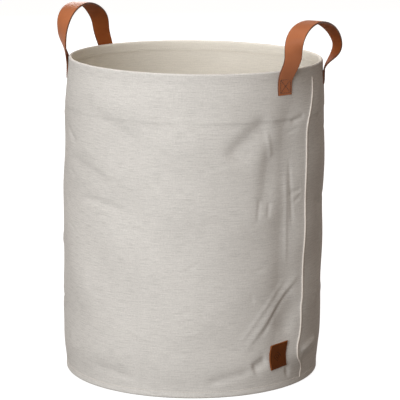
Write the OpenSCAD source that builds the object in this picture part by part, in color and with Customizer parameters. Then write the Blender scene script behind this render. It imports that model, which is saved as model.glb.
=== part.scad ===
// Round fabric storage bin with two sewn-on leather carrying handles.
// A soft canvas wall stands between two sprung wire hoops: one rolled into the hem of the
// rim, one into the hem of the base. Origin at the centre of the base, on the surface that
// the bin stands on, +Z up, handles at -X and +X.

/* [Bin] */
// Outer diameter of the rim
bin_d = 400; // [360:5:440]
// Height of the rim above the floor
bin_h = 500; // [440:5:560]
// How far the wall bellies out past the rim
wall_belly = 6; // [3:0.5:10]
// Thickness of the canvas
canvas_t = 1.2; // [0.8:0.1:1.4]
// Thickness of the inner lining
lining_t = 0.4; // [0.3:0.1:0.5]

/* [Hems] */
// Height of the stitched hem at the rim
top_hem_h = 15.7; // [12:0.1:20]
// Height of the stitched hem at the base
bottom_hem_h = 14.7; // [12:0.1:20]
// Diameter of the two wire hoops
wire_d = 3; // [2.5:0.1:3.5]
// How far the inner facing reaches below the rim
facing_h = 75; // [60:1:90]

/* [Base] */
// Thickness of the stiffening board
board_t = 3; // [2:0.5:3]

/* [Handles] */
// Width of the leather straps
strap_w = 28; // [24:1:32]
// Thickness of the leather straps
strap_t = 2.5; // [2:0.1:3]
// Width of a handle's loop between the middles of its two sides
loop_w = 164; // [156:2:172]
// Height of the middle of the strap above the rim, at the top of the loop
loop_h = 72; // [68:1:80]
// Angle from the middle of a handle to the middle of each leg, seen from above
leg_angle = 22.8; // [20:0.2:25]
// How far the sewn strap ends reach below the rim
strap_end_h = 37; // [33:1:42]
// Height of the stitched box with a cross on each strap end
cross_h = 20; // [16:1:24]

/* [Label and seam] */
// Width of the leather label
label_w = 32; // [28:1:38]
// Height of the leather label
label_h = 40; // [30:1:45]
// Height of the middle of the label above the floor
label_z = 53; // [45:1:60]
// Direction of the label, seen from above, anticlockwise from -Y
label_angle = 65; // [50:1:68]
// Direction of the side seam, seen from above, anticlockwise from -Y
seam_angle = 78; // [75:1:86]

/* [Hidden] */

$fn = 96;

// Gap between layers that lie on each other, and between pieces that move past each other
layer_gap = 0.1;
slide_gap = 0.3;

rim_r = bin_d / 2;
roll_r = wire_d / 2 + canvas_t;
base_r = rim_r + 1.5;
hem_t = 2 * canvas_t + layer_gap;
thread_r = 0.35;
stitch_inset = 3;

// The free wall, between the two hems
wall_z0 = bottom_hem_h + slide_gap;
wall_z1 = bin_h - top_hem_h - slide_gap;
wall_steps = 16;

// Layers of the wall, as distances inwards from its outer surface
lining_in = canvas_t + layer_gap;
facing_in = lining_in + lining_t + layer_gap;
tape_t = 0.4;

// Base, from the floor up
board_z = canvas_t + layer_gap;
floor_z = board_z + board_t + layer_gap;
base_roll_r = base_r - roll_r;
panel_r = base_roll_r - roll_r - layer_gap;

// Handles. Between the sewn end and the loop a short stretch of strap is left out, where
// the leather folds.
strap_in_r = rim_r + slide_gap;
strap_mid_r = strap_in_r + strap_t / 2;
strap_end_top = 1;
loop_steps = 36;
// The loop is the upper part of an ellipse, widest at loop_side_h above the rim, and it ends
// loop_foot degrees below that
loop_side_h = 26;
loop_foot = 17;
// Outward place of the loop's feet, and how much further out its top is
loop_foot_out = 193;
loop_lean = 11;
// How far the feet are turned to face outwards, from 0 to 1
foot_turn = 0.5;

// How far up the loop the point at angle a is, 0 at a foot and 1 at the top
function loop_rise(a) = (sin(a) + sin(loop_foot)) / (1 + sin(loop_foot));
// Middle line of a handle: sideways, outwards and up from the centre of the rim
function loop_point(a) = [
    -loop_w / 2 * cos(a),
    loop_foot_out + loop_lean * sin(90 * loop_rise(a)),
    loop_side_h + (loop_h - loop_side_h) * sin(a)
];
// Direction that the strap's outer face looks in
function loop_face(a) =
    let (turn = foot_turn * (1 - loop_rise(a)))
    (1 - turn) * unit([-cos(a) / (loop_w / 2), 0, sin(a) / (loop_h - loop_side_h)])
        + [0, turn, 0];
function unit(v) = v / norm(v);

// The four corners of the strap's section at angle a of the loop
function strap_section(a) =
    let (
        step = 0.1,
        p = loop_point(a),
        along = unit(loop_point(a + step) - loop_point(a - step)),
        face = loop_face(a),
        out = unit(face - (face * along) * along),
        across = cross(out, along)
    )
    [for (c = [[-1, -1], [1, -1], [1, 1], [-1, 1]])
        p + across * c[0] * strap_w / 2 + out * c[1] * strap_t / 2];

// The outer surface of the wall at height z: nearly straight, pulled in at both hems
function wall_r(z) =
    let (s = (z - wall_z0) / (wall_z1 - wall_z0))
    base_r + (rim_r + 0.3 - base_r) * s + (wall_belly - 0.3) * (1 - pow(abs(2 * s - 1), 4));

// A layer that follows the wall: from z0 to z1, between two distances inwards from its
// outer surface (a negative distance lies outside it)
module wall_layer(z0, z1, near, far, angle = 360) {
    steps = max(2, ceil(wall_steps * (z1 - z0) / (wall_z1 - wall_z0)));
    zs = [for (i = [0 : steps]) z0 + (z1 - z0) * i / steps];
    rotate_extrude(angle = angle, $fn = 180)
        polygon(concat(
            [for (z = zs) [wall_r(z) - near, z]],
            [for (i = [steps : -1 : 0]) [wall_r(zs[i]) - far, zs[i]]]
        ));
}

// Turns its children, drawn from the +X direction on, to the given direction from -Y
module facing_direction(angle, width_angle = 0) {
    rotate([0, 0, angle - 90 - width_angle / 2]) children();
}

// A hem rolled round a wire hoop: the roll, and two layers hanging from it
module hem_section(roll_x, roll_z, end_z) {
    difference() {
        union() {
            translate([roll_x, roll_z]) circle(r = roll_r, $fn = 32);
            translate([roll_x + roll_r - hem_t, min(roll_z, end_z)])
                square([hem_t, abs(end_z - roll_z)]);
        }
        translate([roll_x, roll_z]) circle(r = wire_d / 2 + layer_gap / 2, $fn = 32);
        translate([roll_x + roll_r - canvas_t - layer_gap, min(roll_z, end_z) - 1])
            square([layer_gap, abs(end_z - roll_z) + 2]);
    }
}

module hoop(roll_x, roll_z) {
    rotate_extrude($fn = 180)
        translate([roll_x, roll_z]) circle(d = wire_d, $fn = 32);
}

module thread_ring(ring_r, z) {
    rotate_extrude($fn = 180)
        translate([ring_r + thread_r, z]) circle(r = thread_r, $fn = 16);
}

// Base

module base_panel() {
    color("gainsboro") cylinder(h = canvas_t, r = panel_r, $fn = 180);
}

module base_board() {
    color("tan") translate([0, 0, board_z]) cylinder(h = board_t, r = panel_r, $fn = 180);
}

// A shallow cup: its rim covers the rolled hem and meets the wall lining
module base_lining() {
    cup_r = base_r - hem_t - layer_gap;
    color("whitesmoke") rotate_extrude($fn = 180) polygon([
        [0, floor_z],
        [panel_r - 0.6, floor_z],
        [cup_r - 0.6, floor_z + 1.5],
        [cup_r - 0.2, floor_z + 2.2],
        [cup_r - 0.2, wall_z0 - layer_gap],
        [cup_r - 0.2 - lining_t, wall_z0 - layer_gap],
        [cup_r - 0.2 - lining_t, floor_z + 2.4],
        [cup_r - 0.9, floor_z + 1.5 + lining_t],
        [panel_r - 0.7, floor_z + lining_t],
        [0, floor_z + lining_t]
    ]);
}

module base_hoop() {
    color("silver") hoop(base_roll_r, roll_r);
}

module bottom_hem() {
    color("gainsboro") rotate_extrude($fn = 180)
        hem_section(base_roll_r, roll_r, bottom_hem_h);
}

module bottom_stitching() {
    color("ivory") thread_ring(base_r, bottom_hem_h - stitch_inset / 2);
}

// Wall

module wall_panel() {
    color("gainsboro") wall_layer(wall_z0, wall_z1, 0, canvas_t);
}

module wall_lining() {
    color("whitesmoke")
        wall_layer(wall_z0, bin_h - facing_h + 10, lining_in, lining_in + lining_t);
}

module inner_facing() {
    color("gainsboro")
        wall_layer(bin_h - facing_h, wall_z1, facing_in, facing_in + canvas_t);
}

module side_seam_welt() {
    welt_angle = 0.9;
    color("ivory") facing_direction(seam_angle, welt_angle)
        wall_layer(wall_z0 + 1, wall_z1 - 1, -1, -0.05, welt_angle);
}

module side_seam_tape() {
    tape_angle = 4.5;
    color("whitesmoke") facing_direction(seam_angle, tape_angle)
        wall_layer(wall_z0 + 1, bin_h - facing_h - 1, facing_in, facing_in + tape_t, tape_angle);
}

module label() {
    label_span = label_w / wall_r(label_z) * 180 / PI;
    label_t = 2;
    color("saddlebrown") facing_direction(label_angle, label_span)
        wall_layer(label_z - label_h / 2, label_z + label_h / 2,
            -label_t - layer_gap, -layer_gap, label_span);
}

// Rim

module top_hem() {
    color("gainsboro") rotate_extrude($fn = 180)
        hem_section(rim_r - roll_r, bin_h - roll_r, bin_h - top_hem_h);
}

module rim_hoop() {
    color("silver") hoop(rim_r - roll_r, bin_h - roll_r);
}

// One row of stitches round the inside of the rim, near the lower edge of the hem
module hem_stitching() {
    color("ivory") thread_ring(rim_r - hem_t - 2 * thread_r, bin_h - top_hem_h + stitch_inset / 2);
}

// Handles. side is -1 for the left one and 1 for the right one.

function end_in_r(z) = max(strap_in_r, wall_r(z) + slide_gap + 0.05);
end_z0 = bin_h - strap_end_h;
end_z1 = bin_h + strap_end_top;
end_zs = [for (i = [0 : 6]) end_z0 + (wall_z1 - end_z0) * i / 6];

// The two strap ends lie flat on the wall and are sewn to it
module strap_ends(side) {
    end_span = strap_w / strap_mid_r * 180 / PI;
    for (leg = [-1, 1])
        facing_direction(90 * side + leg * leg_angle, end_span)
            rotate_extrude(angle = end_span, $fn = 180) polygon(concat(
                [for (z = end_zs) [end_in_r(z), z]],
                [[strap_in_r, end_z1], [strap_in_r + strap_t, end_z1]],
                [for (i = [len(end_zs) - 1 : -1 : 0]) [end_in_r(end_zs[i]) + strap_t, end_zs[i]]]
            ));
}

// A stitched box with a cross, on the outside of each strap end
module end_stitching(side) {
    box_w = strap_w - 2 * stitch_inset;
    z0 = end_z0 + stitch_inset;
    z1 = z0 + cross_h;
    r0 = end_in_r(z0) + strap_t + 2 * thread_r;
    r1 = end_in_r(z1) + strap_t + 2 * thread_r;
    for (leg = [-1, 1])
        facing_direction(90 * side + leg * leg_angle) {
            low = [for (s = [-1, 1]) [r0, s * box_w / 2, z0]];
            high = [for (s = [-1, 1]) [r1, s * box_w / 2, z1]];
            middle = (low[0] + high[1]) / 2;
            thread(low[0], low[1]);
            thread(high[0], high[1]);
            thread(low[0], high[0]);
            thread(low[1], high[1]);
            thread(low[0], high[1]);
            thread(low[1], middle);
            thread(high[0], middle);
        }
}

// A straight thread from a to b that stops short of both, clear of the threads that it meets
module thread(a, b) {
    d = b - a;
    short = 4 * thread_r;
    translate(a + short * unit(d))
        rotate([0, acos(d[2] / norm(d)), atan2(d[1], d[0])])
            cylinder(h = norm(d) - 2 * short, r = thread_r, $fn = 16);
}

// The free loop of the strap, which stands up above the rim and leans outwards
module handle_loop(side) {
    sections = [for (i = [0 : loop_steps])
        strap_section(-loop_foot + (180 + 2 * loop_foot) * i / loop_steps)];
    last = len(sections) - 1;
    points = [for (s = sections) for (p = s) p];
    sides = [for (i = [0 : last - 1]) for (j = [0 : 3])
        let (a = 4 * i + j, b = 4 * i + (j + 1) % 4)
        for (f = [[a, b, b + 4], [a, b + 4, a + 4]]) f];
    end = 4 * last;
    ends = [[3, 2, 1], [3, 1, 0], [end, end + 1, end + 2], [end, end + 2, end + 3]];
    translate([0, 0, bin_h])
        rotate([0, 0, side > 0 ? -90 : 90])
            polyhedron(points = points, faces = concat(sides, ends), convexity = 6);
}

module left_strap_ends() { color("peru") strap_ends(-1); }
module right_strap_ends() { color("peru") strap_ends(1); }
module left_end_stitching() { color("sienna") end_stitching(-1); }
module right_end_stitching() { color("sienna") end_stitching(1); }
module left_handle_loop() { color("peru") handle_loop(-1); }
module right_handle_loop() { color("peru") handle_loop(1); }

base_panel();
base_board();
base_lining();
base_hoop();
bottom_hem();
bottom_stitching();
wall_panel();
wall_lining();
inner_facing();
side_seam_welt();
side_seam_tape();
label();
top_hem();
rim_hoop();
hem_stitching();
left_strap_ends();
right_strap_ends();
left_end_stitching();
right_end_stitching();
left_handle_loop();
right_handle_loop();
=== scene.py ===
import math

import bpy
import numpy as np
from mathutils import Matrix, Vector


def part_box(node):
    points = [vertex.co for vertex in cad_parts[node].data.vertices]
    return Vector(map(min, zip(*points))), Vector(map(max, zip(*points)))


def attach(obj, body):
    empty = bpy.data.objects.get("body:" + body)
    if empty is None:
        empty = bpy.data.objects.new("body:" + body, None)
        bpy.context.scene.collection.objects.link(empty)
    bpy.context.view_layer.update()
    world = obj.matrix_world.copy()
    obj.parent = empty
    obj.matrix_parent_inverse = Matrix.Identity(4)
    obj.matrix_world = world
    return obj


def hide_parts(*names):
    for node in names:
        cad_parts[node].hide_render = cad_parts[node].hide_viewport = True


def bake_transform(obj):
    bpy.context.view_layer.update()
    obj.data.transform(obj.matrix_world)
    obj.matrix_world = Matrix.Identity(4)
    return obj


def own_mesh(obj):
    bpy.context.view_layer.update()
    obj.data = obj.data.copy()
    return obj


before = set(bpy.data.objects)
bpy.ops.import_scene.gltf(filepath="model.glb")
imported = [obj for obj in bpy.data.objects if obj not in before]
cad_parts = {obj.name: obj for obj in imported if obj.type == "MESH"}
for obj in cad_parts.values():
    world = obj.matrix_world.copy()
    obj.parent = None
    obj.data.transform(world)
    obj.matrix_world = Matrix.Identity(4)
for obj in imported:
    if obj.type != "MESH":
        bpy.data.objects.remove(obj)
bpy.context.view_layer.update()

RNG = np.random.default_rng(11)

# ---- sizes, in metres, read from the frame where a node gives them ----

RIM_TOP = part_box("top_hem")[1][2]
HEM_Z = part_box("top_hem")[0][2]
RIM_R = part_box("top_hem")[1][0]
FOOT_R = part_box("bottom_hem")[1][0]
BOARD_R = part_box("base_board")[1][0]
FLOOR_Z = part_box("base_lining")[0][2]
LINING_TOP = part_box("wall_lining")[1][2]
FACING_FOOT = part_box("inner_facing")[0][2]
SEWN_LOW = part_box("right_strap_ends")[0][2]
WALL_LOW = 0.015
WALL_HIGH = 0.484
WALL_TOP_R = RIM_R + 0.0003
CANVAS_T = 0.0012
LINING_GAP = 0.0002
LINING_T = 0.0004
FACING_GAP = 0.0012
HEM_INNER_R = WALL_TOP_R - 3 * CANVAS_T - 0.0012
BELLY = 0.0057
WIRE_R = 0.0015
ROLL_R = 0.0027
STITCH_L = 0.0027
STITCH_R = 0.00035
STRAP_W = 0.028
STRAP_T = 0.0025
LABEL_W = 0.0315
LABEL_H = 0.040
LABEL_Z = 0.0563
LABEL_AZ = 64.2
LABEL_T = 0.0018

# ---- the camera, and the slight lean of the bin as it stands ----

VIEW_TURN = math.radians(23.0)
PITCH_DOWN = math.radians(11.58)
ROLL = 0.0053
CAMERA_AT = (0.0126, -3.3555, 0.9566)
LENS_MM = 193.2
LEAN_SIDE = 0.0048
LEAN_DROP = 0.0068


def add_camera():
    data = bpy.data.cameras.new("camera")
    data.lens = LENS_MM
    data.sensor_width = 36.0
    data.clip_end = 200.0
    cam = bpy.data.objects.new("camera", data)
    bpy.context.collection.objects.link(cam)
    turn = Matrix.Rotation(VIEW_TURN, 4, "Z")
    tip = Matrix.Rotation(math.radians(90.0) - PITCH_DOWN, 4, "X")
    cam.matrix_world = turn @ Matrix.Translation(CAMERA_AT) @ tip @ Matrix.Rotation(ROLL, 4, "Z")
    bpy.context.scene.camera = cam


def lean(points):
    """The bin leans a few millimetres to one side, more towards the rim."""
    p = np.array(points, float)
    side = p[..., 0] * math.cos(VIEW_TURN) + p[..., 1] * math.sin(VIEW_TURN)
    share = p[..., 2] / RIM_TOP
    p[..., 0] += LEAN_SIDE * share * math.cos(VIEW_TURN)
    p[..., 1] += LEAN_SIDE * share * math.sin(VIEW_TURN)
    p[..., 2] -= LEAN_DROP * side * share
    return p


# ---- small shape helpers ----


def smooth(x):
    """A soft step from 0 to 1 as x goes from 0 to 1."""
    x = np.clip(x, 0.0, 1.0)
    return x * x * (3 - 2 * x)


# Past this many widths a bell is too low to matter
BELL_REACH = 2.6


def bell(x, width):
    """1 at x = 0, falling off smoothly on both sides."""
    return np.exp(-(x / width) ** 2)


def polar(az_deg, r, z):
    """Points from azimuth in degrees (0 looks along -Y, growing towards +X), radius and height."""
    a = np.radians(az_deg)
    return np.stack([r * np.sin(a), -r * np.cos(a), z + 0 * a], axis=-1)


def turn_gap(az_deg, centre):
    """How far a direction is from another, in degrees from -180 to 180."""
    return (az_deg - centre + 180.0) % 360.0 - 180.0


def catmull(keys, count):
    """A smooth line through the keys, count points evenly spaced along it."""
    k = np.array(keys, float)
    k = np.vstack([2 * k[0] - k[1], k, 2 * k[-1] - k[-2]])
    points_per_span = 40
    t = np.linspace(0, 1, points_per_span, endpoint=False)[:, None]
    out = []
    for i in range(1, len(k) - 2):
        a, b, c, d = k[i - 1], k[i], k[i + 1], k[i + 2]
        out.append(0.5 * (2 * b + (c - a) * t + (2 * a - 5 * b + 4 * c - d) * t**2
                          + (3 * b - a - 3 * c + d) * t**3))
    line = np.vstack(out + [k[-2:-1]])
    step = np.r_[0, np.cumsum(np.linalg.norm(np.diff(line[:, :3], axis=0), axis=1))]
    at = np.linspace(0, step[-1], count)
    return np.stack([np.interp(at, step, line[:, c]) for c in range(line.shape[1])], axis=1)


def unit(v):
    return v / np.maximum(np.linalg.norm(v, axis=-1, keepdims=True), 1e-9)


def soften(values, passes):
    """Average each row with its neighbours, passes times over. The two end rows stay."""
    v = np.array(values, float)
    for _ in range(passes):
        v[1:-1] = (v[:-2] + 2 * v[1:-1] + v[2:]) / 4
    return v


# ---- how the cloth wall lies: belly, side seam, creases ----

def seam_at(z):
    """Direction of the side seam at height z: nearly upright, swinging aside under the rim and
    above the foot, with a nick over the foot."""
    z = np.asarray(z, float)
    under_rim = 8.5 * smooth((z - 0.40) / 0.09)
    nick = -2.2 * bell(z - 0.062, 0.020)
    over_foot = 4.8 * smooth((0.050 - z) / 0.030)
    return 76.0 + 4.0 * z + under_rim + nick + over_foot


def path_distance(az, z, keys, count):
    """Signed distance in metres from a crease line, and the place along it from 0 to 1."""
    line = catmull([(math.radians(a) * RIM_R, h, 0.0) for a, h in keys], count)[:, :2]
    middle = 0.5 * (keys[0][0] + keys[-1][0])
    s = np.radians(turn_gap(az, middle) + middle) * RIM_R
    best = np.full(s.shape, 1e9)
    side = np.zeros(s.shape)
    along = np.zeros(s.shape)
    for i in range(count - 1):
        a, b = line[i], line[i + 1]
        d = b - a
        raw = ((s - a[0]) * d[0] + (z - a[1]) * d[1]) / (d @ d)
        t = np.clip(raw, 0, 1)
        dx, dz = s - a[0] - t * d[0], z - a[1] - t * d[1]
        far = np.hypot(dx, dz)
        closer = far < best
        best = np.where(closer, far, best)
        side = np.where(closer, np.sign(d[0] * dz - d[1] * dx), side)
        along = np.where(closer, (i + t) / (count - 1), along)
    return best * side, along


def crease(az, z, keys, height, left, right, fade=(0.15, 0.15)):
    """How far a fold stands out at each point of the wall, in metres. Its line runs through keys,
    each a direction in degrees and a height in metres, and it has its own width on either side."""
    turns, levels = [k[0] for k in keys], [k[1] for k in keys]
    reach = BELL_REACH * max(left, right)
    middle = 0.5 * (keys[0][0] + keys[-1][0])
    half = 0.5 * (max(turns) - min(turns)) + abs(middle - 0.5 * (max(turns) + min(turns)))
    near = np.abs(turn_gap(az, middle)) < half + math.degrees(reach / RIM_R)
    near &= (z > min(levels) - reach) & (z < max(levels) + reach)
    out = np.zeros(np.broadcast(az, z).shape)
    if near.any():
        d, along = path_distance(az[near], z[near], keys, 12 * len(keys))
        shape = np.where(d > 0, bell(d, left), bell(d, right))
        out[near] = height * shape * smooth(along / fade[0]) * smooth((1 - along) / fade[1])
    return out


# Each fold: direction in degrees and height in mm of its two ends, then in mm how far its middle
# bows upwards, how far it stands out, and its width on the left and on the right of the line.
FOLDS = [
    # long diagonal fold from the seam down to the front, its shadow, and a second fold above it
    ((77, 190), (45, 65), 6, 1.4, 4, 8),
    ((73, 170), (52, 80), 5, -0.9, 4, 4),
    ((69, 185), (42, 75), 5, 0.7, 4, 4),
    # hollow under the diagonal fold
    ((76, 145), (65, 85), 5, -3.4, 16, 22),
    # upright creases beside the seam
    ((66, 360), (67, 190), 0, 0.8, 3, 4),
    ((68, 370), (70, 250), 0, -0.9, 3, 3),
    # pull lines under the facing
    ((58, 430), (36, 365), 6, -4.6, 26, 14),
    ((55, 415), (58, 365), 0, 1.0, 4, 4),
    ((58, 400), (53, 275), 0, -2.8, 18, 13),
    ((52, 310), (51, 270), 0, -0.9, 4, 3),
    ((57, 305), (56, 275), 0, -0.9, 4, 3),
    ((68, 420), (77, 430), 0, -1.4, 4, 5),
    # short nips by the seam
    ((68, 310), (75, 315), 0, -0.9, 3, 3),
    ((70, 295), (75, 305), 0, -0.8, 3, 3),
    # soft folds on the left front
    ((-30, 435), (0, 390), 8, -1.2, 8, 14),
    ((-46, 355), (-12, 325), 4, -1.3, 8, 14),
    ((-35, 295), (-6, 285), 6, -1.2, 5, 8),
    ((-52, 400), (-38, 375), 0, -1.3, 5, 6),
    # dents along the foot and round the label
    ((-27, 35), (0, 25), 3, -1.2, 7, 8),
    ((28, 20), (52, 40), 2, -1.8, 8, 8),
    ((50, 40), (58, 55), 0, -3.6, 8, 10),
    ((69, 40), (72, 5), 0, -2.4, 5, 3),
    ((76, 55), (94, 65), 0, 2.8, 6, 5),
    ((78, 40), (97, 45), 0, -3.6, 6, 12),
]


def fold_line(fold):
    """A row of FOLDS as the arguments of crease."""
    (az0, z0), (az1, z1), bow, height, left, right = fold
    keys = [(az0, z0 / 1000), ((az0 + az1) / 2, (z0 + z1) / 2000 + bow / 1000), (az1, z1 / 1000)]
    return keys, height / 1000, left / 1000, right / 1000, (0.25, 0.25)


CREASES = [fold_line(f) for f in FOLDS]


# Where scattered creases may lie: the heights of their middles and of their ends, the usual tilt
# in degrees, and the space kept clear round the label
FOLD_MIDDLES = (0.05, 0.43)
FOLD_ENDS = (0.03, 0.455)
FOLD_TILT = 32
LABEL_CLEAR_AZ, LABEL_CLEAR_TURN, LABEL_CLEAR_Z = 64.0, 16, 0.12


def scattered_folds(count, length, height, width, turns):
    """Creases that any such cloth has, at places that are the same each time. They keep off the
    label and lie mostly level, as the folds of a bin that was packed flat do."""
    folds = []
    while len(folds) < count:
        az, z = RNG.uniform(*turns), RNG.uniform(*FOLD_MIDDLES)
        run, tilt = RNG.uniform(*length), math.radians(RNG.normal(0, FOLD_TILT))
        depth = RNG.choice([-1, 1], p=[0.6, 0.4]) * RNG.uniform(*height)
        left, right = RNG.uniform(*width, 2)
        bend = RNG.uniform(-0.12, 0.12) * run
        if abs(turn_gap(az, LABEL_CLEAR_AZ)) < LABEL_CLEAR_TURN and z < LABEL_CLEAR_Z:
            continue
        side, up = math.degrees(run * math.cos(tilt) / RIM_R) / 2, run * math.sin(tilt) / 2
        keys = [(az - side, z - up), (az, z + bend), (az + side, z + up)]
        if all(FOLD_ENDS[0] < k[1] < FOLD_ENDS[1] for k in keys):
            folds.append((keys, depth, left, right, (0.35, 0.35)))
    return folds


# Small ones on the front, then small and large ones on the sides and back
CREASES += scattered_folds(46, (0.020, 0.060), (0.00025, 0.0006), (0.0025, 0.0050), (-60, 72))
CREASES += scattered_folds(60, (0.020, 0.070), (0.0003, 0.0009), (0.0025, 0.0060), (86, 300))
CREASES += scattered_folds(13, (0.070, 0.150), (0.0010, 0.0020), (0.0060, 0.0140), (95, 300))


def ripple_terms():
    """A few long soft waves, the same each time: waves round the bin and per metre of height, how
    far each stands out, and its two phases."""
    terms = []
    for _ in range(16):
        around = RNG.integers(3, 12)
        up = RNG.uniform(2.0, 11.0)
        size = RNG.uniform(0.3, 1.0) * 0.0011 / (around / 4.0 + up / 8.0)
        terms.append((around, up, size, RNG.uniform(0, 6.28), RNG.uniform(0, 6.28)))
    return terms


RIPPLES = ripple_terms()


# Long soft shapes of the wall, each as how far it stands out in metres and its width in degrees
# round the bin: the ridge under the seam (narrower in front of it than behind), the valley in
# front of it and the flat behind it.
RIDGE, RIDGE_FRONT, RIDGE_BACK = 0.0052, 14.0, 30.0
VALLEY, VALLEY_AZ, VALLEY_W = -0.0030, 66.0, 7.0
FLAT, FLAT_AZ, FLAT_W = -0.0018, 101, 11.0
# Direction and height of the dent above the label, and height of the bulge over the foot
DENT, DENT_AZ, DENT_Z = -0.0004, 57.0, 0.070
FOOT_BULGE, FOOT_BULGE_Z = 0.0012, 0.052
# The raised edge along the seam, and the step where the facing starts inside the wall
SEAM_EDGE, SEAM_EDGE_W = 0.0006, 0.75
FACING_STEP, FACING_STEP_Z = 0.0009, 0.4235


def hem_fade(z, low=0.020, high=0.024):
    """1 on the open wall, falling to 0 at the two hems over the given heights."""
    return smooth((z - WALL_LOW + 0.001) / low) * smooth((WALL_HIGH - z) / high)


def wall_radius(az, z):
    """Outer face of the cloth wall, in metres from the axis."""
    s = np.clip((z - WALL_LOW) / (WALL_HIGH - WALL_LOW), 0, 1)
    r = FOOT_R + (WALL_TOP_R - FOOT_R) * s + BELLY * (1 - np.abs(2 * s - 1) ** 4)
    soft = np.zeros(np.broadcast(az, z).shape)
    for around, up, size, p, q in RIPPLES:
        soft += size * np.sin(np.radians(az) * around + p) * np.sin(up * z * 6.28 + q)
    gap = turn_gap(az, seam_at(z))
    ridge = RIDGE * np.where(gap < 0, np.clip(1 + gap / RIDGE_FRONT, 0, 1) ** 1.15,
                             np.clip(1 - gap / RIDGE_BACK, 0, 1) ** 1.1)
    valley = VALLEY * bell(turn_gap(az, VALLEY_AZ), VALLEY_W)
    flat = FLAT * bell(turn_gap(az, FLAT_AZ), FLAT_W)
    low_dent = DENT * bell(turn_gap(az, DENT_AZ), 6.0) * bell(z - DENT_Z, 0.035)
    body = (ridge + valley + flat) * hem_fade(z, 0.045, 0.075) + low_dent * hem_fade(z)
    foot = FOOT_BULGE * bell(z - FOOT_BULGE_Z, 0.024) * hem_fade(z)
    seam_edge = SEAM_EDGE * bell(gap, SEAM_EDGE_W) * hem_fade(z, 0.010, 0.010)
    facing = FACING_STEP * smooth((z - FACING_STEP_Z) / 0.003) * smooth((WALL_HIGH - z) / 0.03)
    facing = facing * (0.55 + 0.45 * bell(turn_gap(az, 60), 28))
    facing = facing * (1 + 0.5 * np.sin(np.radians(az) * 13))
    az, z = np.broadcast_arrays(np.asarray(az, float), np.asarray(z, float))
    folds = np.zeros(soft.shape)
    for keys, height, left, right, fade in CREASES:
        folds += crease(az, z, keys, height, left, right, fade)
    waves = soft * hem_fade(z, 0.05, 0.05)
    return r + waves + body + foot + seam_edge + facing + folds * hem_fade(z, 0.012, 0.012)


# ---- meshes ----


def new_mesh(name, verts, faces, mats, picks=None, uv=None, sharp=45.0):
    mesh = bpy.data.meshes.new(name)
    mesh.from_pydata(np.asarray(verts).tolist(), [], faces)
    for m in mats:
        mesh.materials.append(m)
    if picks is not None:
        mesh.polygons.foreach_set("material_index", np.asarray(picks, np.int32))
    if uv is not None:
        layer = mesh.uv_layers.new(name="cloth")
        corner = np.empty(len(mesh.loops), np.int32)
        mesh.loops.foreach_get("vertex_index", corner)
        layer.data.foreach_set("uv", np.asarray(uv)[corner].astype(np.float32).ravel())
    mesh.shade_smooth()
    mesh.set_sharp_from_angle(angle=math.radians(sharp))
    mesh.update()
    obj = bpy.data.objects.new(name, mesh)
    bpy.context.collection.objects.link(obj)
    return obj


def round_shell(outer, inner, step):
    """Verts and faces of a closed sleeve: outer and inner are (rows, columns, 3), the inner
    with one column for each step columns of the outer."""
    rows, cols = outer.shape[:2]
    rows_in, cols_in = inner.shape[:2]
    base = rows * cols
    faces = []
    for k in range(rows - 1):
        for j in range(cols):
            n = (j + 1) % cols
            faces.append((k * cols + j, k * cols + n, (k + 1) * cols + n, (k + 1) * cols + j))
    for k in range(rows_in - 1):
        for j in range(cols_in):
            n = (j + 1) % cols_in
            faces.append((base + k * cols_in + j, base + (k + 1) * cols_in + j,
                          base + (k + 1) * cols_in + n, base + k * cols_in + n))
    for j in range(cols_in):
        n = (j + 1) % cols_in
        edge = [(j * step + i) % cols for i in range(step + 1)]
        top = (rows - 1) * cols
        top_in = base + (rows_in - 1) * cols_in
        faces.append(tuple([top + e for e in edge] + [top_in + n, top_in + j]))
        faces.append(tuple([e for e in edge[::-1]] + [base + j, base + n]))
    return np.vstack([outer.reshape(-1, 3), inner.reshape(-1, 3)]), faces


def sleeve(name, z_out, z_in, r_out, r_in, cols, step, mat):
    """A closed cloth sleeve round the axis, with its outer and inner face given by radius functions."""
    az = np.arange(cols) * 360.0 / cols
    a, z = np.meshgrid(az, z_out)
    b, y = np.meshgrid(az[::step], z_in)
    outer, inner = lean(polar(a, r_out(a, z), z)), lean(polar(b, r_in(b, y), y))
    verts, faces = round_shell(outer, inner, step)
    uv = np.vstack([
        np.stack([np.radians(a) * RIM_R, z], axis=-1).reshape(-1, 2),
        np.stack([np.radians(b) * RIM_R, y], axis=-1).reshape(-1, 2),
    ])
    return new_mesh(name, verts, faces, [mat], uv=uv)


def spun(name, section, cols, mats, second_from=None):
    """A closed ring from a section of (radius, z) points that run anticlockwise. The faces from the
    point second_from on take the second material."""
    az = np.arange(cols) * 360.0 / cols
    r, z = np.array(section)[:, 0], np.array(section)[:, 1]
    a, rr = np.meshgrid(az, r)
    zz = np.meshgrid(az, z)[1]
    pts = lean(polar(a, rr, zz))
    rows = len(section)
    faces, picks = [], []
    for k in range(rows):
        m = (k + 1) % rows
        for j in range(cols):
            n = (j + 1) % cols
            faces.append((k * cols + j, k * cols + n, m * cols + n, m * cols + j))
            picks.append(int(second_from is not None and k >= second_from))
    uv = np.stack([np.radians(a) * RIM_R, zz], axis=-1).reshape(-1, 2)
    return new_mesh(name, pts.reshape(-1, 3), faces, mats, picks, uv, sharp=60)


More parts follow.
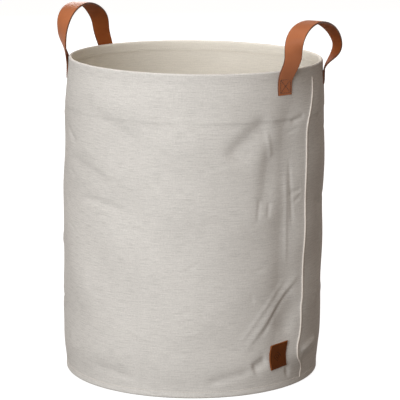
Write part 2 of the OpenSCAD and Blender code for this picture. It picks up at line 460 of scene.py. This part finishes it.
def stitches(name, centres, alongs, normals, length, radius, mat):
    """Short rounded stitches, each sunk a little into the surface it sits on."""
    ring = 6
    ang = np.arange(ring) * 2 * math.pi / ring
    verts, faces = [], []
    profile = [(-0.5, 0.35), (-0.32, 1.0), (0.32, 1.0), (0.5, 0.35)]
    for c, t, n in zip(centres, alongs, normals):
        t = t / np.linalg.norm(t)
        n = n - t * (n @ t)
        n = n / np.linalg.norm(n)
        s = np.cross(t, n)
        base = len(verts)
        for at, fat in profile:
            for w in ang:
                verts.append(c + t * at * length
                             + (n * math.sin(w) + s * math.cos(w)) * radius * fat
                             - n * radius * (1 - fat))
        for k in range(len(profile) - 1):
            for j in range(ring):
                m = (j + 1) % ring
                faces.append((base + k * ring + j, base + k * ring + m,
                              base + (k + 1) * ring + m, base + (k + 1) * ring + j))
        faces.append(tuple(base + j for j in range(ring))[::-1])
        last = base + (len(profile) - 1) * ring
        faces.append(tuple(last + j for j in range(ring)))
    return new_mesh(name, verts, faces, [mat], sharp=80)


# ---- materials ----


def shader(name, rough):
    mat = bpy.data.materials.new(name)
    mat.use_nodes = True
    nodes, links = mat.node_tree.nodes, mat.node_tree.links
    bsdf = nodes["Principled BSDF"]
    bsdf.inputs["Roughness"].default_value = rough
    return mat, nodes, links, bsdf


def noise(nodes, links, source, scale, detail, stretch=(1, 1, 1)):
    mapping = nodes.new("ShaderNodeMapping")
    mapping.inputs["Scale"].default_value = stretch
    links.new(source, mapping.inputs["Vector"])
    tex = nodes.new("ShaderNodeTexNoise")
    tex.inputs["Scale"].default_value = scale
    tex.inputs["Detail"].default_value = detail
    links.new(mapping.outputs["Vector"], tex.inputs["Vector"])
    return tex.outputs["Fac"]


def ramp(nodes, links, value, stops):
    node = nodes.new("ShaderNodeValToRGB")
    node.color_ramp.elements[0].position = stops[0][0]
    node.color_ramp.elements[0].color = (*stops[0][1], 1)
    node.color_ramp.elements[1].position = stops[-1][0]
    node.color_ramp.elements[1].color = (*stops[-1][1], 1)
    for at, colour in stops[1:-1]:
        e = node.color_ramp.elements.new(at)
        e.color = (*colour, 1)
    links.new(value, node.inputs["Fac"])
    return node.outputs["Color"]


def multiply(nodes, links, a, b):
    mix = nodes.new("ShaderNodeMix")
    mix.data_type = "RGBA"
    mix.blend_type = "MULTIPLY"
    mix.inputs["Factor"].default_value = 1.0
    links.new(a, mix.inputs["A"])
    links.new(b, mix.inputs["B"])
    return mix.outputs["Result"]


def bump(nodes, links, bsdf, value, strength, distance, before=None):
    node = nodes.new("ShaderNodeBump")
    node.inputs["Strength"].default_value = strength
    node.inputs["Distance"].default_value = distance
    links.new(value, node.inputs["Height"])
    if before is not None:
        links.new(before, node.inputs["Normal"])
    links.new(node.outputs["Normal"], bsdf.inputs["Normal"])
    return node.outputs["Normal"]


def grey(v):
    return (v, v, v)


def cloth_material(name, colour, slub=0.16, mottle=0.05):
    """Woven cloth: fine threads, with thicker weft yarns here and there, and a soft mottle. slub is
    how much the yarns differ in brightness, and mottle how much the cloth does."""
    mat, nodes, links, bsdf = shader(name, 0.9)
    uv = nodes.new("ShaderNodeUVMap")
    uv.uv_map = "cloth"
    flat = uv.outputs["UV"]
    weft = noise(nodes, links, flat, 60.0, 3.0, (1, 16, 1))
    warp = noise(nodes, links, flat, 60.0, 2.0, (14, 1.2, 1))
    blot = noise(nodes, links, flat, 9.0, 3.0, (1, 0.7, 1))
    lines = ramp(nodes, links, weft,
                 [(0.25, grey(1 - slub)), (0.5, grey(1.0)), (0.78, grey(1 + slub * 0.5))])
    uprights = ramp(nodes, links, warp, [(0.25, grey(1 - slub * 0.35)), (0.7, grey(1.0))])
    soft = ramp(nodes, links, blot, [(0.3, grey(1 - mottle)), (0.7, grey(1.0))])
    speck = noise(nodes, links, flat, 420.0, 2.0, (1, 1, 1))
    grains = ramp(nodes, links, speck, [(0.3, grey(1 - slub * 0.6)), (0.7, grey(1 + slub * 0.2))])
    tint = nodes.new("ShaderNodeRGB")
    tint.outputs[0].default_value = (*colour, 1)
    mix = multiply(nodes, links, tint.outputs[0], lines)
    mix = multiply(nodes, links, mix, uprights)
    mix = multiply(nodes, links, mix, soft)
    mix = multiply(nodes, links, mix, grains)
    thick = noise(nodes, links, flat, 24.0, 4.0, (1, 24, 1))
    yarns = ramp(nodes, links, thick,
                 [(0.30, grey(1 - slub * 0.55)), (0.46, grey(1.0)), (0.72, grey(1 + slub * 0.25))])
    mix = multiply(nodes, links, mix, yarns)
    links.new(mix, bsdf.inputs["Base Color"])
    bsdf.inputs["Specular IOR Level"].default_value = 0.15
    thread = noise(nodes, links, flat, 900.0, 1.0, (1, 1, 1))
    first = bump(nodes, links, bsdf, weft, 0.35, 0.0006)
    bump(nodes, links, bsdf, thread, 0.25, 0.0003, first)
    return mat


def leather_material(name, light, dark, rough, grain=0.35, shine=0.22):
    mat, nodes, links, bsdf = shader(name, rough)
    place = nodes.new("ShaderNodeTexCoord").outputs["Object"]
    cloud = noise(nodes, links, place, 26.0, 5.0)
    fine = noise(nodes, links, place, 900.0, 4.0)
    links.new(ramp(nodes, links, cloud, [(0.3, dark), (0.7, light)]), bsdf.inputs["Base Color"])
    bump(nodes, links, bsdf, fine, grain, 0.0003)
    bsdf.inputs["Specular IOR Level"].default_value = shine
    return mat


def plain_material(name, light, dark, rough, scale=120.0, metallic=0.0):
    mat, nodes, links, bsdf = shader(name, rough)
    place = nodes.new("ShaderNodeTexCoord").outputs["Object"]
    cloud = noise(nodes, links, place, scale, 4.0)
    links.new(ramp(nodes, links, cloud, [(0.3, dark), (0.7, light)]), bsdf.inputs["Base Color"])
    bsdf.inputs["Metallic"].default_value = metallic
    bump(nodes, links, bsdf, cloud, 0.1, 0.0003)
    return mat


def make_materials():
    return {
        "canvas": cloth_material("canvas", (0.650, 0.636, 0.602)),
        "facing": cloth_material("facing", (0.79, 0.755, 0.68), 0.08, 0.03),
        # The seam welt's canvas, made lighter than the wall: a painted highlight along the seam
        "canvas_seam_highlight": cloth_material("canvas_seam_highlight", (0.74, 0.695, 0.635), 0.06, 0.02),
        "lining": cloth_material("lining", (0.83, 0.80, 0.71), 0.06, 0.03),
        "thread": plain_material("thread", (0.72, 0.68, 0.62), (0.62, 0.58, 0.52), 0.8),
        "brown_thread": plain_material("brown_thread", (0.10, 0.045, 0.022),
                                       (0.06, 0.026, 0.013), 0.7),
        "leather": leather_material("leather", (0.42, 0.145, 0.058), (0.35, 0.115, 0.044),
                                    0.5, shine=0.15),
        # The straps' inner face: rougher than the outer, and darker, the darkening partly the leather's
        # own tone and partly painted shade for the underside of the loop
        "leather_inside_painted_shade": leather_material("leather_inside_painted_shade", (0.31, 0.088, 0.024),
                                           (0.25, 0.066, 0.017), 0.8, shine=0.08),
        "leather_edge": leather_material("leather_edge", (0.16, 0.052, 0.020),
                                         (0.11, 0.036, 0.014), 0.45),
        # The label's rim and cut sides in a lighter leather: a painted highlight along its rounded edge
        "label_edge_highlight": leather_material("label_edge_highlight", (0.25, 0.082, 0.025), (0.18, 0.056, 0.016),
                                       0.6, shine=0.08),
        "label_pressed": leather_material("label_pressed", (0.065, 0.016, 0.003),
                                          (0.045, 0.011, 0.002), 0.6, 0.2, 0.08),
        "label": leather_material("label", (0.128, 0.035, 0.006), (0.085, 0.021, 0.0035),
                                  0.7, shine=0.05),
        "board": plain_material("board", (0.42, 0.33, 0.23), (0.36, 0.28, 0.19), 0.9),
        "wire": plain_material("wire", (0.58, 0.58, 0.57), (0.50, 0.50, 0.49), 0.35, 300.0, 1.0),
    }


# ---- pieces of the folding wall, held to the base or to the rim ----

# The real wall folds below this height; the cloth below it is held to the base, and above it the cloth
# moves with the rim
BAND_Z = 0.455


def folds_down(obj):
    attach(obj, "base")
    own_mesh(obj)


# Points round the bin for the finely creased cloth and for the plain rings
FINE_COLS = 640
RING_COLS = 320


def make_wall(m):
    """The wall, which folds down in the real bin, is held to the base up to the band that carries the
    handles; the band moves with the rim.
    """
    z_out = np.r_[WALL_LOW, np.linspace(WALL_LOW + 0.001, BAND_Z, 215)]
    z_in = np.linspace(WALL_LOW, BAND_Z, 58)

    def inner(a, z):
        return wall_radius(a, z) - CANVAS_T

    wall = sleeve("cloth_wall", z_out, z_in, wall_radius, inner, FINE_COLS, 4, m["canvas"])
    band_z = np.linspace(BAND_Z, WALL_HIGH, 16)
    band = sleeve("cloth_band", band_z, band_z[::3], wall_radius, inner, FINE_COLS, 4, m["canvas"])
    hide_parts("wall_panel")
    folds_down(wall)
    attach(band, "rim")
    return wall, band


def make_lining(m):
    z = np.linspace(WALL_LOW, LINING_TOP, 110)

    def outer(a, y):
        return wall_radius(a, y) - CANVAS_T - LINING_GAP

    def inner(a, y):
        return outer(a, y) - LINING_T

    obj = sleeve("cloth_lining", z, z, outer, inner, RING_COLS, 1, m["lining"])
    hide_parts("wall_lining")
    folds_down(obj)
    return obj


def make_facing(m):
    """The band turned down inside the rim: its upper part moves with the rim, its foot is sewn to the
    lining and is held to the base with the wall."""
    def wave(a, y):
        return 0.0005 * np.sin(np.radians(a) * 9 + 1.3) * smooth((WALL_HIGH - y) / 0.04)

    def outer(a, y):
        return wall_radius(a, y) - CANVAS_T - FACING_GAP + wave(a, y)

    def inner(a, y):
        return outer(a, y) - CANVAS_T

    pieces = []
    for name, low, high, rows in (("cloth_facing", BAND_Z, WALL_HIGH, 12),
                                  ("cloth_facing_foot", FACING_FOOT, BAND_Z, 10)):
        z = np.linspace(low, high, rows)
        obj = sleeve(name, z, z, outer, inner, RING_COLS, 1, m["facing"])
        pieces.append(obj)
    upper, foot = pieces
    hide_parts("inner_facing")
    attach(upper, "rim")
    folds_down(foot)
    return upper, foot


# The seam's welt and tape: width in degrees, and the distance from the wall's outer face to the
# side that touches the cloth and to the side that shows
WELT = (0.95, 0.0001, 0.0010)
TAPE = (3.4, -CANVAS_T - 0.0007, -CANVAS_T - 0.0012)
WELT_LOW, WELT_HIGH = 0.009, 0.483
TAPE_LOW, TAPE_HIGH = 0.016, 0.424


def make_seam(m):
    """The side seam: a narrow lapped welt on the outside, drawn in a lighter copy of the canvas as a
    painted highlight along the seam, and a tape inside.
    """
    def strip(name, z, width_deg, near, far, mat):
        centre = seam_at(z)
        shape = np.linspace(-1, 1, 9)
        az = centre[:, None] + shape[None, :] * width_deg / 2
        zz = z[:, None] + 0 * az
        surface = wall_radius(az, zz)
        bulge = 1 - np.abs(shape[None, :]) ** 3
        top = lean(polar(az, surface + near + (far - near) * bulge, zz))
        low = lean(polar(az, surface + near - 0.0003 * np.sign(far - near), zz))
        n, c = az.shape
        verts = np.vstack([top.reshape(-1, 3), low.reshape(-1, 3)])
        flip = 1 if far > near else -1
        faces = []
        for k in range(n - 1):
            for j in range(c - 1):
                q = (k * c + j, k * c + j + 1, (k + 1) * c + j + 1, (k + 1) * c + j)
                faces.append(q[::flip])
                faces.append(tuple(n * c + i for i in q)[::-flip])
        for k in range(n - 1):
            for j, way in ((0, 1), (c - 1, -1)):
                q = (k * c + j, (k + 1) * c + j, n * c + (k + 1) * c + j, n * c + k * c + j)
                faces.append(q[::way * flip])
        for k, way in ((0, -1), (n - 1, 1)):
            for j in range(c - 1):
                q = (k * c + j, k * c + j + 1, n * c + k * c + j + 1, n * c + k * c + j)
                faces.append(q[::way * flip])
        uv = np.stack([np.radians(az) * RIM_R, zz], axis=-1).reshape(-1, 2)
        return new_mesh(name, verts, faces, [mat], uv=np.vstack([uv, uv]), sharp=60)

    # The welt is the same canvas, made lighter as a painted highlight along the seam's raised edge
    welt = strip("seam_welt", np.linspace(WELT_LOW, BAND_Z, 142), *WELT, m["canvas_seam_highlight"])
    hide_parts("side_seam_welt")
    folds_down(welt)
    top = strip("seam_welt_top", np.linspace(BAND_Z, WELT_HIGH, 12), *WELT, m["canvas_seam_highlight"])
    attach(top, "rim")
    tape = strip("seam_tape", np.linspace(TAPE_LOW, TAPE_HIGH, 90), *TAPE, m["lining"])
    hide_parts("side_seam_tape")
    folds_down(tape)
    return welt, top, tape


# ---- rim ----


def make_rim(m):
    centre_r, centre_z = RIM_R - ROLL_R, RIM_TOP - ROLL_R
    section = [(WALL_TOP_R, HEM_Z - 0.0003)]
    section += [(WALL_TOP_R - 0.0003 * k / 4, HEM_Z + k * 0.0030) for k in range(1, 4)]
    section += [(centre_r + ROLL_R * math.cos(w), centre_z + ROLL_R * math.sin(w))
                for w in np.linspace(0, math.pi, 15)]
    section += [(HEM_INNER_R - 0.0010, HEM_Z + 0.0085), (HEM_INNER_R - 0.0002, HEM_Z + 0.0040),
                (HEM_INNER_R, HEM_Z - 0.0003)]
    roll_top = 10
    hem = spun("rim_hem", section, RING_COLS, [m["canvas"], m["facing"]], roll_top)
    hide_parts("top_hem")
    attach(hem, "rim")
    return hem


def make_rim_wire(m):
    centre_r, centre_z = RIM_R - ROLL_R, RIM_TOP - ROLL_R
    section = [(centre_r + WIRE_R * math.cos(w), centre_z + WIRE_R * math.sin(w))
               for w in np.linspace(0, 2 * math.pi, 10, endpoint=False)]
    wire = spun("rim_wire", section, 200, [m["wire"]])
    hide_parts("rim_hoop")
    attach(wire, "rim")


def ring_stitches(name, r, z, count, facing, mat):
    """A row of stitches right round the bin. facing is 1 on an outer face and -1 on an inner one."""
    az = np.arange(count) * 360.0 / count
    zz = z + 0.0002 * np.sin(np.radians(az) * 7)
    pts = lean(polar(az, np.full(count, r), zz))
    along = np.stack([np.cos(np.radians(az)), np.sin(np.radians(az)), 0 * az], axis=-1)
    out = np.stack([np.sin(np.radians(az)), -np.cos(np.radians(az)), 0 * az], axis=-1) * facing
    return stitches(name, pts, along, out, STITCH_L, STITCH_R, mat)


def make_rim_stitches(m):
    obj = ring_stitches("rim_stitches", HEM_INNER_R - 0.00025, HEM_Z + 0.0022, 330, -1, m["thread"])
    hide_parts("hem_stitching")
    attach(obj, "rim")


# ---- foot ----


def make_foot(m):
    centre_r, centre_z = FOOT_R - ROLL_R, ROLL_R
    section = [(centre_r + ROLL_R * math.cos(w), centre_z + ROLL_R * math.sin(w))
               for w in np.linspace(-math.pi, 0, 13)]
    section += [(FOOT_R, 0.0065), (FOOT_R - 0.0007, 0.0100), (FOOT_R, 0.0130), (FOOT_R, WALL_LOW + 0.0002)]
    section += [(FOOT_R - 2 * CANVAS_T, WALL_LOW + 0.0002), (FOOT_R - 2 * CANVAS_T, 0.0080)]
    hem = spun("foot_hem", section, RING_COLS, [m["canvas"]])
    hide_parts("bottom_hem")
    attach(hem, "base")
    return hem


def make_foot_stitches(m):
    obj = ring_stitches("foot_stitches", FOOT_R - 0.00045, 0.0100, 340, 1, m["thread"])
    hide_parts("bottom_stitching")
    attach(obj, "base")


def make_floor_cloth(m):
    """Lining laid over the base board and turned up the wall."""
    cols = 160
    az = np.arange(cols) * 360.0 / cols
    radii = np.linspace(0.004, BOARD_R - 0.001, 34)
    cup = [(BOARD_R + 0.0008, 0.0002), (BOARD_R + 0.0016, 0.0012), (BOARD_R + 0.0019, 0.0030),
           (BOARD_R + 0.0019, 0.0060), (BOARD_R + 0.0019, 0.0098)]
    rr = np.r_[radii, [c[0] for c in cup]]
    up = np.r_[np.zeros(len(radii)), [c[1] for c in cup]]
    a, r = np.meshgrid(az, rr)
    lift = np.meshgrid(az, up)[1]
    wave = 0.0006 * (np.sin(np.radians(a) * 3 + 0.5) * bell(r - 0.12, 0.06)
                     + 0.8 * np.cos(np.radians(a) * 2) * bell(r - 0.06, 0.05))
    z = FLOOR_Z + np.maximum(wave, -0.00008) + 0.0001 + lift
    top = polar(a, r, z + LINING_T)
    low = polar(a, r + LINING_T * (lift > 0), z)
    rows = len(rr)
    middle_top, middle_low = [0, 0, FLOOR_Z + 0.0006], [0, 0, FLOOR_Z + 0.0001]
    verts = np.vstack([top.reshape(-1, 3), low.reshape(-1, 3), [middle_top], [middle_low]])
    base = rows * cols
    faces = []
    for k in range(rows - 1):
        for j in range(cols):
            n = (j + 1) % cols
            q = (k * cols + j, (k + 1) * cols + j, (k + 1) * cols + n, k * cols + n)
            faces.append(q)
            faces.append(tuple(base + i for i in q)[::-1])
    for j in range(cols):
        n = (j + 1) % cols
        faces.append((j, n, 2 * base))
        faces.append((base + n, base + j, 2 * base + 1))
        e = (rows - 1) * cols
        faces.append((e + j, base + e + j, base + e + n, e + n))
    obj = new_mesh("floor_cloth", verts, faces, [m["lining"]], uv=verts[:, :2])
    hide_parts("base_lining")
    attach(obj, "base")
    return obj


# The label: the wall's radius there, its rounded edge, and the depth and inset of its pressed mark
LABEL_R = 0.2045
LABEL_EDGE = 0.0012
PRESS_DEPTH = 0.0006
PRESS_INSET = 0.0032
# Half sizes of the two pressed diamonds, as shares of the label's width, and their line widths
DIAMONDS = ((0.20, 0.0007), (0.09, 0.0006))


def make_label(m):
    """Leather patch with a pressed frame and diamond, curved with the wall behind it."""
    nu, nv = 75, 81
    u = np.linspace(-0.5, 0.5, nu)
    v = np.linspace(-0.5, 0.5, nv)
    uu, vv = np.meshgrid(u, v)
    taper = 1 - 0.03 * (0.5 - vv)
    bow = 0.8 * (4 * vv**2 - 1)
    az = LABEL_AZ + bow - 0.5 * vv + np.degrees(uu * LABEL_W * taper / LABEL_R)
    z = LABEL_Z + vv * LABEL_H + 0.0040 * uu
    back = soften(soften(wall_radius(az, z), 24).T, 24).T
    edge = np.minimum(0.5 - np.abs(uu), (0.5 - np.abs(vv)) * LABEL_H / LABEL_W) * LABEL_W
    pillow = PRESS_DEPTH * smooth(edge / LABEL_EDGE)
    frame_line = bell(edge - PRESS_INSET, 0.0005)
    from_middle = np.abs(uu) + np.abs(vv + 0.02) * 1.15
    outer, inner = (bell((from_middle - half) * LABEL_W, line) for half, line in DIAMONDS)
    mark = np.clip(frame_line * 0.6 + outer + inner, 0, 1)
    press = -PRESS_DEPTH * mark
    curl = 0.0009 * smooth(np.abs(vv) * 2) + 0.0007 * smooth((uu + 0.1) * 2) * smooth((vv + 0.1) * 2)
    lift = 0.0003 + curl
    top = lean(polar(az, back + lift + LABEL_T - PRESS_DEPTH + pillow + press, z))
    low = lean(polar(az, back + 0.00005 + 0.6 * curl, z))
    cells = nu * nv
    verts = np.vstack([top.reshape(-1, 3), low.reshape(-1, 3)])
    faces, picks = [], []
    for k in range(nv - 1):
        for j in range(nu - 1):
            q = (k * nu + j, k * nu + j + 1, (k + 1) * nu + j + 1, (k + 1) * nu + j)
            faces.append(q)
            faces.append(tuple(cells + i for i in q)[::-1])
            # Top faces within 0.7 mm of the edge take the lighter rim leather, a painted highlight along
            # the label's edge
            rim_highlight = edge[k:k + 2, j:j + 2].mean() < 0.0007
            picks += [1 if rim_highlight else 2 if mark[k:k + 2, j:j + 2].mean() > 0.45 else 0, 0]
    for k in range(nv - 1):
        a, b = k * nu, (k + 1) * nu
        faces.append((a, b, cells + b, cells + a))
        a, b = k * nu + nu - 1, (k + 1) * nu + nu - 1
        faces.append((b, a, cells + a, cells + b))
    for j in range(nu - 1):
        faces.append((j + 1, j, cells + j, cells + j + 1))
        a = (nv - 1) * nu + j
        faces.append((a, a + 1, cells + a + 1, cells + a))
    # The cut sides take the same lighter leather, a painted highlight
    picks += [1] * (len(faces) - len(picks))
    obj = new_mesh("leather_label", verts, faces,
                   [m["label"], m["label_edge_highlight"], m["label_pressed"]], picks, sharp=70)
    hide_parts("label")
    folds_down(obj)


# ---- leather handles ----

# Each free loop is the upper part of an ellipse. az is the handle's direction and legs the places
# of its sewn ends from there, in degrees. In metres: half its width on either side, the height of
# its top and of its widest place above the rim, how far its top is skewed sideways, how far out
# from the axis its feet are, and how much further out its top is. Turned is the slope of its
# plane, seen from above.
LOOP_FOOT = math.radians(8)
STRAPS = {
    "right": {"az": 89, "legs": (-24, 19), "half": (0.078, 0.074), "top": 0.070, "side": 0.022,
              "skew": -0.030, "out": 0.202, "lean": 0.007, "turned": 0.09},
    "left": {"az": -89, "legs": (-22, 18), "half": (0.070, 0.078), "top": 0.077, "side": 0.028,
             "skew": 0.030, "out": 0.195, "lean": -0.006, "turned": 0.0},
}
SEWN_R = WALL_TOP_R + 0.0001 + STRAP_T / 2


def strap_line(spec):
    """Centre line and outward direction of one handle, end to end."""
    a = math.radians(spec["az"])
    out = np.array([math.sin(a), -math.cos(a), 0])
    across = np.array([math.cos(a), math.sin(a), 0])
    keys = []

    def leg(turn, heights):
        az = spec["az"] + turn
        for h in heights:
            swell = 0.0004 * smooth((RIM_TOP - 0.012 - h) / 0.03)
            p = polar(np.array(az), SEWN_R + swell, h)
            n = polar(np.array(az), 1.0, 0.0)
            keys.append([*p, *n])

    leg(spec["legs"][0], (SEWN_LOW, 0.475, 0.488))
    tall = spec["top"] - spec["side"]
    for w in np.linspace(-LOOP_FOOT, math.pi + LOOP_FOOT, 9):
        rise = (math.sin(w) + math.sin(LOOP_FOOT)) / (1 + math.sin(LOOP_FOOT))
        half = spec["half"][0] if math.cos(w) > 0 else spec["half"][1]
        u = -half * math.cos(w) + spec["skew"] * max(math.sin(w), 0.0)
        up = np.array([0, 0, RIM_TOP + spec["side"] + tall * math.sin(w)])
        ring = unit(np.array([-math.cos(w) / half, math.sin(w) / tall]))
        turned = 0.5 * (1 - rise)
        n = (1 - turned) * (across * ring[0] + np.array([0, 0, ring[1]])) + turned * out
        far = spec["out"] + spec["lean"] * rise + spec["turned"] * u
        keys.append([*(across * u + out * far + up), *n])
    leg(spec["legs"][1], (0.488, 0.475, SEWN_LOW))
    line = catmull(keys, 260)
    # the sewn stretch at either end stays as it is; the rest is softened into one curve
    held = 10
    line[held:-held] = soften(line[held:-held], 80)
    return line[:, :3], unit(line[:, 3:])


def make_strap(side, m):
    """One leather strap, end to end. Each side of its section has a kind: 0 for the outer face,
    1 for the inner face and 2 for the cut edges."""
    spec = STRAPS[side]
    p, n = strap_line(spec)
    t = unit(np.gradient(p, axis=0))
    n = unit(n - t * (n * t).sum(axis=1, keepdims=True))
    w = np.cross(n, t)
    half, thick, corner = STRAP_W / 2, STRAP_T / 2, 0.0008
    flat = np.linspace(-1, 1, 11) * (half - corner)
    section, kinds = [], []
    for x in flat:
        crown = 0.0002 * (1 - (x / half) ** 2)
        section.append((x, thick + crown))
        kinds.append(0)
    turn = np.linspace(math.pi / 2, 0, 4)[1:]
    section += [(half - corner + corner * math.cos(q), thick - corner + corner * math.sin(q))
                for q in turn]
    kinds += [2] * 3
    section += [(x, -y) for x, y in section[-1:-4:-1]]
    kinds += [2] * 3
    section += [(x, -thick) for x in flat[::-1]]
    kinds += [1] * len(flat)
    section += [(-half + corner - corner * math.cos(q), -thick + corner - corner * math.sin(q))
                for q in turn]
    kinds += [2] * 3
    section += [(x, -y) for x, y in section[-1:-4:-1]]
    kinds += [2] * 3
    s = np.array(section)
    # the edges waver a little, as cut leather does
    wander = 0.0003 * np.sin(np.linspace(0, 23, len(p)))[:, None]
    sideways = w[:, None, :] * (s[None, :, :1] * (1 + wander[:, None] / half))
    pts = lean(p[:, None, :] + sideways + n[:, None, :] * s[None, :, 1:])
    rows, cols = pts.shape[:2]
    faces, picks = [], []
    for k in range(rows - 1):
        for j in range(cols):
            i = (j + 1) % cols
            faces.append((k * cols + j, (k + 1) * cols + j, (k + 1) * cols + i, k * cols + i))
            both = {kinds[j], kinds[i]}
            picks.append(0 if both == {0} else 1 if both == {1} else 2)
    faces.append(tuple(range(cols)))
    faces.append(tuple((rows - 1) * cols + j for j in range(cols))[::-1])
    picks += [2, 2]
    # The inner face's darker leather is partly painted shade under the loop
    obj = new_mesh(side + "_strap", pts.reshape(-1, 3), faces,
                   [m["leather"], m["leather_inside_painted_shade"], m["leather_edge"]], picks, sharp=50)
    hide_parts(side + "_strap_ends", side + "_handle_loop")
    return obj


# The sewn box on each strap end, from the strap's lower end and middle, and its stitches
BOX_LOW, BOX_HIGH, BOX_HALF = 0.0035, 0.0235, 0.0105
BOX_PITCH, BOX_STITCH_L, BOX_STITCH_R = 0.0036, 0.0030, 0.00048


def make_end_stitches(side, m):
    """A sewn box with a cross in it on each end of the strap."""
    spec = STRAPS[side]
    low, high, wide = SEWN_LOW + BOX_LOW, SEWN_LOW + BOX_HIGH, BOX_HALF
    corners = [(-wide, low), (wide, low), (wide, high), (-wide, high)]
    runs = [(corners[i], corners[(i + 1) % 4]) for i in range(4)]
    runs += [(corners[0], corners[2]), (corners[1], corners[3])]
    centres, alongs, normals = [], [], []
    for turn in spec["legs"]:
        az0 = spec["az"] + turn
        for (x0, z0), (x1, z1) in runs:
            length = math.hypot(x1 - x0, z1 - z0)
            count = max(2, round(length / BOX_PITCH))
            for k in range(count):
                f = (k + 0.5) / count
                x, z = x0 + (x1 - x0) * f, z0 + (z1 - z0) * f
                mid = polar(np.array(az0), SEWN_R + STRAP_T / 2 + 0.0002, z)
                out = polar(np.array(az0), 1.0, 0.0)
                sideways = np.array([math.cos(math.radians(az0)), math.sin(math.radians(az0)), 0])
                crown = 0.0002 * (1 - (x / (STRAP_W / 2)) ** 2) - 0.0002
                centres.append(mid + sideways * x + out * (crown + 0.0003))
                alongs.append(sideways * (x1 - x0) + np.array([0, 0, z1 - z0]))
                normals.append(out)
    obj = stitches(side + "_stitches", list(lean(np.array(centres))), alongs, normals,
                   BOX_STITCH_L, BOX_STITCH_R, m["brown_thread"])
    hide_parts(side + "_end_stitching")
    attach(obj, "rim")


def join_strap(obj):
    """Bakes the strap's placement into its own mesh."""
    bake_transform(obj)


# ---- stage and light ----


def area_light(name, at, towards, size, power, colour=(1, 1, 1)):
    data = bpy.data.lights.new(name, "AREA")
    data.shape = "DISK"
    data.size = size
    data.energy = power
    data.color = colour
    obj = bpy.data.objects.new(name, data)
    bpy.context.collection.objects.link(obj)
    turn = Matrix.Rotation(VIEW_TURN, 4, "Z")
    obj.location = turn @ Matrix.Translation(at).translation
    aim = (turn @ Matrix.Translation(towards).translation) - obj.location
    obj.rotation_euler = aim.to_track_quat("-Z", "Y").to_euler()


def make_stage():
    mesh = bpy.data.meshes.new("floor")
    far = 40.0
    corners = [(-far, -far, 0), (far, -far, 0), (far, far, 0), (-far, far, 0)]
    mesh.from_pydata(corners, [], [(0, 1, 2, 3)])
    floor = bpy.data.objects.new("floor", mesh)
    bpy.context.collection.objects.link(floor)
    floor.location.z = -0.0002
    floor.visible_diffuse = False
    mat, _, _, bsdf = shader("floor", 0.9)
    bsdf.inputs["Base Color"].default_value = (0.30, 0.30, 0.30, 1)
    bsdf.inputs["Specular IOR Level"].default_value = 0.0
    bsdf.inputs["Emission Color"].default_value = (1, 1, 1, 1)
    bsdf.inputs["Emission Strength"].default_value = 0.90
    mesh.materials.append(mat)
    world = bpy.data.worlds.new("studio")
    bpy.context.scene.world = world
    world.use_nodes = True
    nodes, links = world.node_tree.nodes, world.node_tree.links
    back = nodes["Background"]
    height = nodes.new("ShaderNodeSeparateXYZ")
    links.new(nodes.new("ShaderNodeTexCoord").outputs["Generated"], height.inputs["Vector"])
    span = nodes.new("ShaderNodeMapRange")
    span.inputs["From Min"].default_value = -0.6
    span.inputs["From Max"].default_value = 0.5
    links.new(height.outputs["Z"], span.inputs["Value"])
    sky = ramp(nodes, links, span.outputs["Result"],
               [(0.0, (0.50, 0.405, 0.335)), (1.0, (1.20, 0.975, 0.82))])
    links.new(sky, back.inputs["Color"])
    back.inputs["Strength"].default_value = 0.26
    area_light("key", (-1.6, -3.6, 1.5), (0, 0, 0.3), 3.2, 156, (0.965, 0.98, 1.0))
    area_light("top", (-0.4, -0.3, 3.4), (0, 0, 0), 3.0, 46)
    area_light("back", (-0.9, 4.2, 1.7), (0, 0, 0.3), 1.6, 75)
    bpy.context.scene.view_settings.view_transform = "Standard"


# ---- put it together ----


def keep_cad(name, mat):
    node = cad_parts[name]
    node.data.materials.clear()
    node.data.materials.append(mat)


def main():
    add_camera()
    make_stage()
    m = make_materials()
    p = {"lining": make_lining(m)}
    p["facing"], p["facing_foot"] = make_facing(m)
    p["wall"], p["band"] = make_wall(m)
    p["welt"], p["welt_top"], p["tape"] = make_seam(m)
    p["rim_hem"], p["foot_hem"] = make_rim(m), make_foot(m)
    make_rim_wire(m)
    make_rim_stitches(m)
    make_foot_stitches(m)
    p["floor_cloth"] = make_floor_cloth(m)
    make_label(m)
    for side in ("left", "right"):
        strap = make_strap(side, m)
        make_end_stitches(side, m)
        join_strap(strap)
    keep_cad("base_board", m["board"])
    keep_cad("base_hoop", m["wire"])
    keep_cad("base_panel", m["canvas"])


main()
